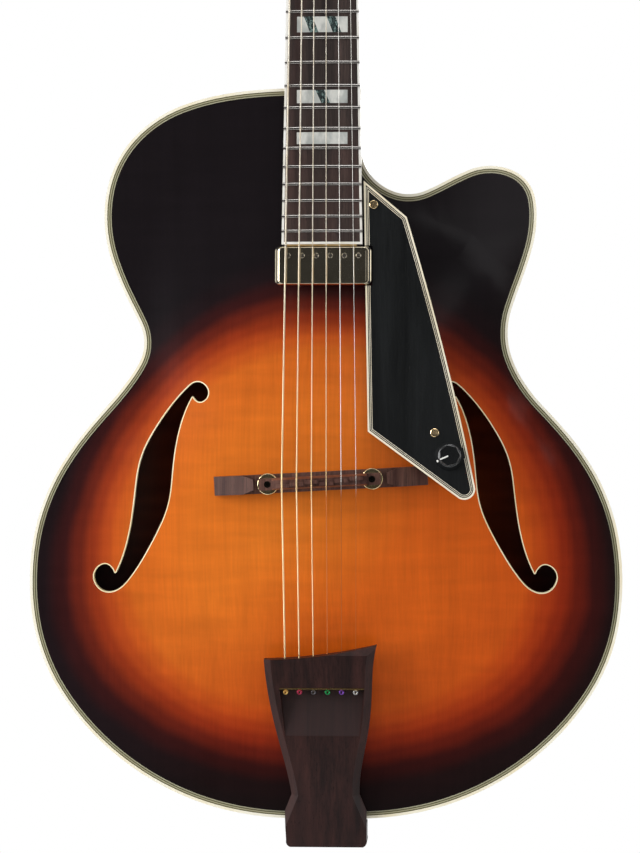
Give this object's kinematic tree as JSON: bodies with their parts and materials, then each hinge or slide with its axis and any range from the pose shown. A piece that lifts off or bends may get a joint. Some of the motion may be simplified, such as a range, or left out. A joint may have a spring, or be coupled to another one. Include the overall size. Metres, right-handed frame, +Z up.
{
  "type": "archtop guitar",
  "caption": "Hollow archtop guitar with carved sunburst top, f-holes, cutaway, adjustable bridge, geared tuners, floating pickup and wooden tailpiece.",
  "frame": {"origin": "middle of the nut, where the fretboard plane meets the plane of the top's edge", "axes": "+X to the treble side, +Y to the back, +Z up along the neck towards the headstock"},
  "size_m": [0.432, 0.16, 1.0882],
  "materials": {
    "sunburst_top": "gloss lacquer over spruce, amber middle to black edge",
    "flamed_back": "gloss lacquer over flamed maple",
    "flamed_ribs": "gloss lacquer over flamed maple",
    "cream_binding": "gloss",
    "layered_purfling": "fine black and cream layers under gloss",
    "inner_spruce": "bare",
    "inner_block": "bare",
    "neck_lacquer": "gloss lacquer over maple",
    "rod_steel": "plain",
    "black_cap": "gloss",
    "ebony_face": "gloss lacquer",
    "gold_plate": "polished gold plate",
    "fretboard_wood": "oiled",
    "fret_wire": "polished",
    "pearl": "mother of pearl",
    "shell": "dark shell",
    "bone": "polished",
    "bridge_wood": "oiled rosewood",
    "dark_steel": "dark",
    "brass": "polished",
    "tailpiece_wood": "oiled rosewood",
    "pickup_metal": "polished",
    "coil_former": "matte",
    "guard_wood": "oiled ebony",
    "guard_edge": "black and white layers",
    "guard_support": "plain",
    "pot_metal": "plain",
    "black_knob": "satin",
    "wound_string": "wound",
    "plain_string": "polished"
  },
  "bodies": {
    "guitar": {"back_binding": "cream_binding", "back_plate": "flamed_back", "bass_rib": "flamed_ribs", "bridge_base": "bridge_wood", "bridge_posts": "dark_steel", "end_pin_jack": "gold_plate", "f_hole_bindings": "cream_binding", "fretboard": "fretboard_wood", "fretboard_binding": "cream_binding", "frets": "fret_wire", "hanger_screws": "gold_plate", "head_block": "inner_block", "head_veneer": "ebony_face", "headstock_screws": "gold_plate", "heel_cap": "black_cap", "linings": "inner_spruce", "neck": "neck_lacquer", "nut": "bone", "pearl_inlays": "pearl", "pickguard": "guard_wood", "pickguard_binding": "guard_edge", "pickguard_screws": "gold_plate", "pickguard_supports": "guard_support", "pickup_bracket": "gold_plate", "pickup_coil": "coil_former", "pickup_cover": "pickup_metal", "plain_strings": "plain_string", "pole_screws": "gold_plate", "shell_inlays": "shell", "tail_block": "inner_block", "tailpiece": "tailpiece_wood", "tailpiece_hanger": "gold_plate", "tailpiece_strip": "brass", "tone_bars": "inner_spruce", "top_binding": "cream_binding", "top_plate": "sunburst_top", "top_purfling": "layered_purfling", "treble_rib": "flamed_ribs", "truss_rod": "rod_steel", "truss_rod_cover": "black_cap", "tuner_bushings": "gold_plate", "tuner_housings": "gold_plate", "volume_pot": "pot_metal", "wound_strings": "wound_string"},
    "saddle": {"bridge_saddle": "bridge_wood"},
    "bass_wheel": {"bass_thumbwheel": "brass"},
    "treble_wheel": {"treble_thumbwheel": "brass"},
    "knob": {"volume_knob": "black_knob"},
    "post_1": {"string_post_1": "gold_plate"},
    "button_1": {"tuner_button_1": "gold_plate"},
    "post_2": {"string_post_2": "gold_plate"},
    "button_2": {"tuner_button_2": "gold_plate"},
    "post_3": {"string_post_3": "gold_plate"},
    "button_3": {"tuner_button_3": "gold_plate"},
    "post_4": {"string_post_4": "gold_plate"},
    "button_4": {"tuner_button_4": "gold_plate"},
    "post_5": {"string_post_5": "gold_plate"},
    "button_5": {"tuner_button_5": "gold_plate"},
    "post_6": {"string_post_6": "gold_plate"},
    "button_6": {"tuner_button_6": "gold_plate"}
  },
  "joints": [
    {"name": "button_1_turn", "type": "hinge", "parent": "guitar", "child": "button_1", "pos_m": [0.0225, 0.03929, 0.04593], "axis": [1, 0, 0], "continuous": true},
    {"name": "post_1_turn", "type": "hinge", "parent": "guitar", "child": "post_1", "pos_m": [0.0225, 0.01732, 0.04465], "axis": [0, 0.9511, -0.309], "continuous": true},
    {"name": "button_2_turn", "type": "hinge", "parent": "guitar", "child": "button_2", "pos_m": [0.025, 0.05165, 0.08397], "axis": [1, 0, 0], "continuous": true},
    {"name": "post_2_turn", "type": "hinge", "parent": "guitar", "child": "post_2", "pos_m": [0.025, 0.02968, 0.0827], "axis": [0, 0.9511, -0.309], "continuous": true},
    {"name": "button_3_turn", "type": "hinge", "parent": "guitar", "child": "button_3", "pos_m": [0.0275, 0.06401, 0.12201], "axis": [1, 0, 0], "continuous": true},
    {"name": "post_3_turn", "type": "hinge", "parent": "guitar", "child": "post_3", "pos_m": [0.0275, 0.04204, 0.12074], "axis": [0, 0.9511, -0.309], "continuous": true},
    {"name": "button_4_turn", "type": "hinge", "parent": "guitar", "child": "button_4", "pos_m": [-0.0275, 0.06401, 0.12201], "axis": [-1, 0, 0], "continuous": true},
    {"name": "post_4_turn", "type": "hinge", "parent": "guitar", "child": "post_4", "pos_m": [-0.0275, 0.04204, 0.12074], "axis": [0, 0.9511, -0.309], "continuous": true},
    {"name": "button_5_turn", "type": "hinge", "parent": "guitar", "child": "button_5", "pos_m": [-0.025, 0.05165, 0.08397], "axis": [-1, 0, 0], "continuous": true},
    {"name": "post_5_turn", "type": "hinge", "parent": "guitar", "child": "post_5", "pos_m": [-0.025, 0.02968, 0.0827], "axis": [0, 0.9511, -0.309], "continuous": true},
    {"name": "button_6_turn", "type": "hinge", "parent": "guitar", "child": "button_6", "pos_m": [-0.0225, 0.03929, 0.04593], "axis": [-1, 0, 0], "continuous": true},
    {"name": "post_6_turn", "type": "hinge", "parent": "guitar", "child": "post_6", "pos_m": [-0.0225, 0.01732, 0.04465], "axis": [0, 0.9511, -0.309], "continuous": true},
    {"name": "saddle_lift", "type": "slide", "parent": "guitar", "child": "saddle", "axis": [0, -1, 0], "range_m": [-0.0015, 0.003], "deforming": ["wound_strings", "plain_strings"]},
    {"name": "bass_wheel_turn", "type": "hinge", "parent": "saddle", "child": "bass_wheel", "pos_m": [-0.03895, -0.03382, -0.6371], "axis": [0, -1, 0], "range_deg": [-676.35, 1352.7]},
    {"name": "treble_wheel_turn", "type": "hinge", "parent": "saddle", "child": "treble_wheel", "pos_m": [0.03595, -0.03382, -0.63318], "axis": [0, -1, 0], "range_deg": [-676.35, 1352.7]},
    {"name": "volume_turn", "type": "hinge", "parent": "guitar", "child": "knob", "pos_m": [0.0914, -0.0431, -0.61634], "axis": [0, 0.9976, -0.0698], "range_deg": [-35, 265]}
  ],
  "couplings": [
    {"joint": "post_1_turn", "follows": "button_1_turn", "ratio": 0.055556},
    {"joint": "post_2_turn", "follows": "button_2_turn", "ratio": 0.055556},
    {"joint": "post_3_turn", "follows": "button_3_turn", "ratio": 0.055556},
    {"joint": "post_4_turn", "follows": "button_4_turn", "ratio": 0.055556},
    {"joint": "post_5_turn", "follows": "button_5_turn", "ratio": 0.055556},
    {"joint": "post_6_turn", "follows": "button_6_turn", "ratio": 0.055556},
    {"joint": "bass_wheel_turn", "follows": "saddle_lift", "rad_per_m": 7854},
    {"joint": "treble_wheel_turn", "follows": "saddle_lift", "rad_per_m": 7854}
  ]
}
